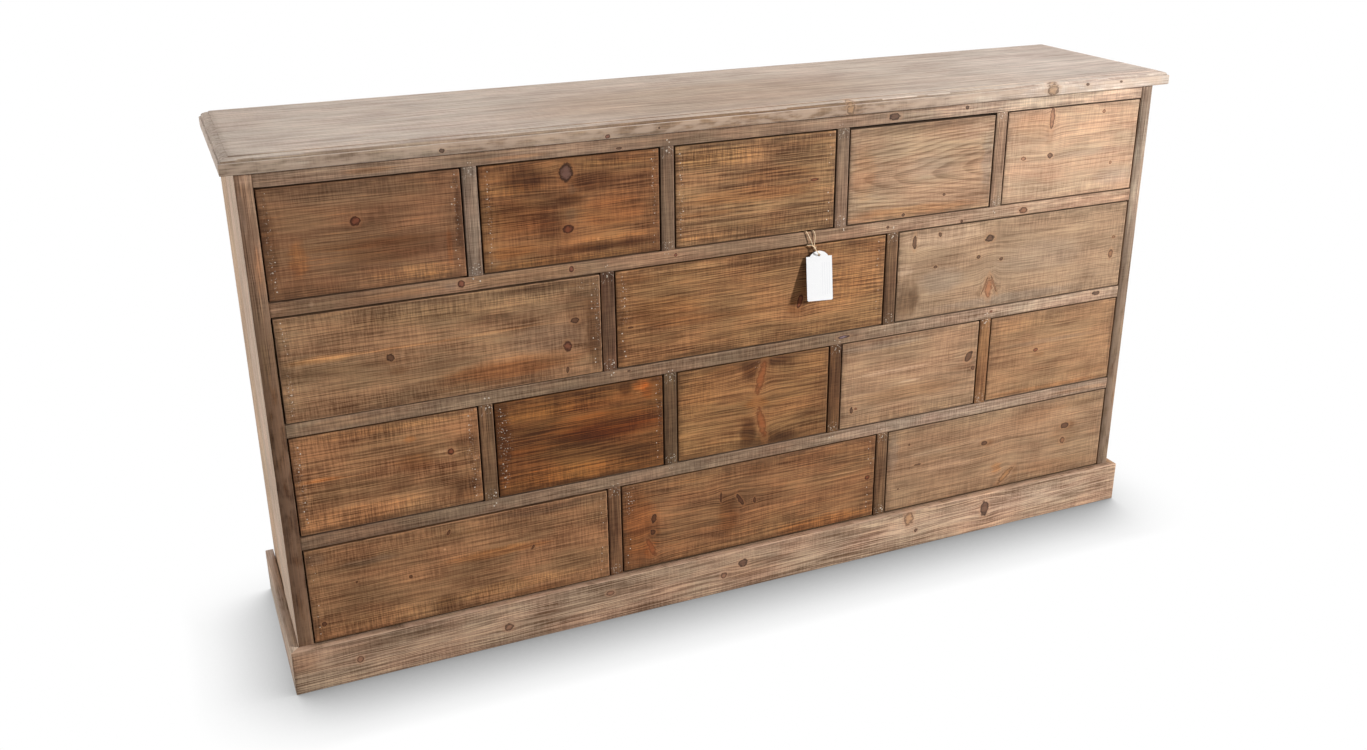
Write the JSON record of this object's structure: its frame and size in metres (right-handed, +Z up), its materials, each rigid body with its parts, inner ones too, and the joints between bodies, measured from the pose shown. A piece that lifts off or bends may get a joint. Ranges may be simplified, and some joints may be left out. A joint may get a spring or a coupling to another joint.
{
  "type": "seed storage cabinet",
  "caption": "Long, low pine cabinet for storing seed: rows of plain inset drawers, narrow and wide by turns, on a plinth and under an overhanging moulded top.",
  "frame": {"origin": "on the floor, at the middle of the footprint of the top board", "axes": "+X to the cabinet's right as seen by someone facing it, -Y out of the drawer fronts, +Z up"},
  "size_m": [1.767, 0.384, 0.942],
  "materials": {
    "case_pine": "old pine, worn and dry, grey-brown with a low wax sheen",
    "drawer_front_pine": "old pine in mixed browns, waxed",
    "drawer_box_pine": "bare sawn pine",
    "inner_pine": "bare sawn pine",
    "tag_card": "matt white card",
    "twine": "natural jute twine"
  },
  "bodies": {
    "carcass": {"back_boards": "inner_pine", "back_rails": "inner_pine", "dividers_row_1": "case_pine", "dividers_row_2": "case_pine", "dividers_row_3": "case_pine", "dividers_row_4": "case_pine", "drawer_guides": "inner_pine", "drawer_stops": "inner_pine", "front_rail_1": "case_pine", "front_rail_2": "case_pine", "front_rail_3": "case_pine", "front_rail_4": "case_pine", "front_rail_top": "case_pine", "kickers": "inner_pine", "plinth_front": "case_pine", "plinth_left": "case_pine", "plinth_right": "case_pine", "runners_row_1": "inner_pine", "runners_row_2": "inner_pine", "runners_row_3": "inner_pine", "runners_row_4": "inner_pine", "side_left_front_board": "case_pine", "side_left_rear_board": "case_pine", "side_right_front_board": "case_pine", "side_right_rear_board": "case_pine", "top_board": "case_pine"},
    "drawer_01": {"drawer_front_01": "drawer_front_pine", "drawer_box_01": "drawer_box_pine"},
    "drawer_02": {"drawer_front_02": "drawer_front_pine", "drawer_box_02": "drawer_box_pine"},
    "drawer_03": {"drawer_front_03": "drawer_front_pine", "drawer_box_03": "drawer_box_pine"},
    "drawer_04": {"drawer_front_04": "drawer_front_pine", "drawer_box_04": "drawer_box_pine"},
    "drawer_05": {"drawer_front_05": "drawer_front_pine", "drawer_box_05": "drawer_box_pine"},
    "drawer_06": {"drawer_front_06": "drawer_front_pine", "drawer_box_06": "drawer_box_pine"},
    "drawer_07": {"drawer_front_07": "drawer_front_pine", "drawer_box_07": "drawer_box_pine", "swing_tag": "tag_card", "tag_twine": "twine"},
    "drawer_08": {"drawer_front_08": "drawer_front_pine", "drawer_box_08": "drawer_box_pine"},
    "drawer_09": {"drawer_front_09": "drawer_front_pine", "drawer_box_09": "drawer_box_pine"},
    "drawer_10": {"drawer_front_10": "drawer_front_pine", "drawer_box_10": "drawer_box_pine"},
    "drawer_11": {"drawer_front_11": "drawer_front_pine", "drawer_box_11": "drawer_box_pine"},
    "drawer_12": {"drawer_front_12": "drawer_front_pine", "drawer_box_12": "drawer_box_pine"},
    "drawer_13": {"drawer_front_13": "drawer_front_pine", "drawer_box_13": "drawer_box_pine"},
    "drawer_14": {"drawer_front_14": "drawer_front_pine", "drawer_box_14": "drawer_box_pine"},
    "drawer_15": {"drawer_front_15": "drawer_front_pine", "drawer_box_15": "drawer_box_pine"},
    "drawer_16": {"drawer_front_16": "drawer_front_pine", "drawer_box_16": "drawer_box_pine"}
  },
  "joints": [
    {"name": "drawer_01_slide", "type": "slide", "parent": "carcass", "child": "drawer_01", "axis": [0, -1, 0], "range_m": [0, 0.26]},
    {"name": "drawer_02_slide", "type": "slide", "parent": "carcass", "child": "drawer_02", "axis": [0, -1, 0], "range_m": [0, 0.26]},
    {"name": "drawer_03_slide", "type": "slide", "parent": "carcass", "child": "drawer_03", "axis": [0, -1, 0], "range_m": [0, 0.26]},
    {"name": "drawer_04_slide", "type": "slide", "parent": "carcass", "child": "drawer_04", "axis": [0, -1, 0], "range_m": [0, 0.26]},
    {"name": "drawer_05_slide", "type": "slide", "parent": "carcass", "child": "drawer_05", "axis": [0, -1, 0], "range_m": [0, 0.26]},
    {"name": "drawer_06_slide", "type": "slide", "parent": "carcass", "child": "drawer_06", "axis": [0, -1, 0], "range_m": [0, 0.26]},
    {"name": "drawer_07_slide", "type": "slide", "parent": "carcass", "child": "drawer_07", "axis": [0, -1, 0], "range_m": [0, 0.26]},
    {"name": "drawer_08_slide", "type": "slide", "parent": "carcass", "child": "drawer_08", "axis": [0, -1, 0], "range_m": [0, 0.26]},
    {"name": "drawer_09_slide", "type": "slide", "parent": "carcass", "child": "drawer_09", "axis": [0, -1, 0], "range_m": [0, 0.26]},
    {"name": "drawer_10_slide", "type": "slide", "parent": "carcass", "child": "drawer_10", "axis": [0, -1, 0], "range_m": [0, 0.26]},
    {"name": "drawer_11_slide", "type": "slide", "parent": "carcass", "child": "drawer_11", "axis": [0, -1, 0], "range_m": [0, 0.26]},
    {"name": "drawer_12_slide", "type": "slide", "parent": "carcass", "child": "drawer_12", "axis": [0, -1, 0], "range_m": [0, 0.26]},
    {"name": "drawer_13_slide", "type": "slide", "parent": "carcass", "child": "drawer_13", "axis": [0, -1, 0], "range_m": [0, 0.26]},
    {"name": "drawer_14_slide", "type": "slide", "parent": "carcass", "child": "drawer_14", "axis": [0, -1, 0], "range_m": [0, 0.26]},
    {"name": "drawer_15_slide", "type": "slide", "parent": "carcass", "child": "drawer_15", "axis": [0, -1, 0], "range_m": [0, 0.26]},
    {"name": "drawer_16_slide", "type": "slide", "parent": "carcass", "child": "drawer_16", "axis": [0, -1, 0], "range_m": [0, 0.26]}
  ]
}
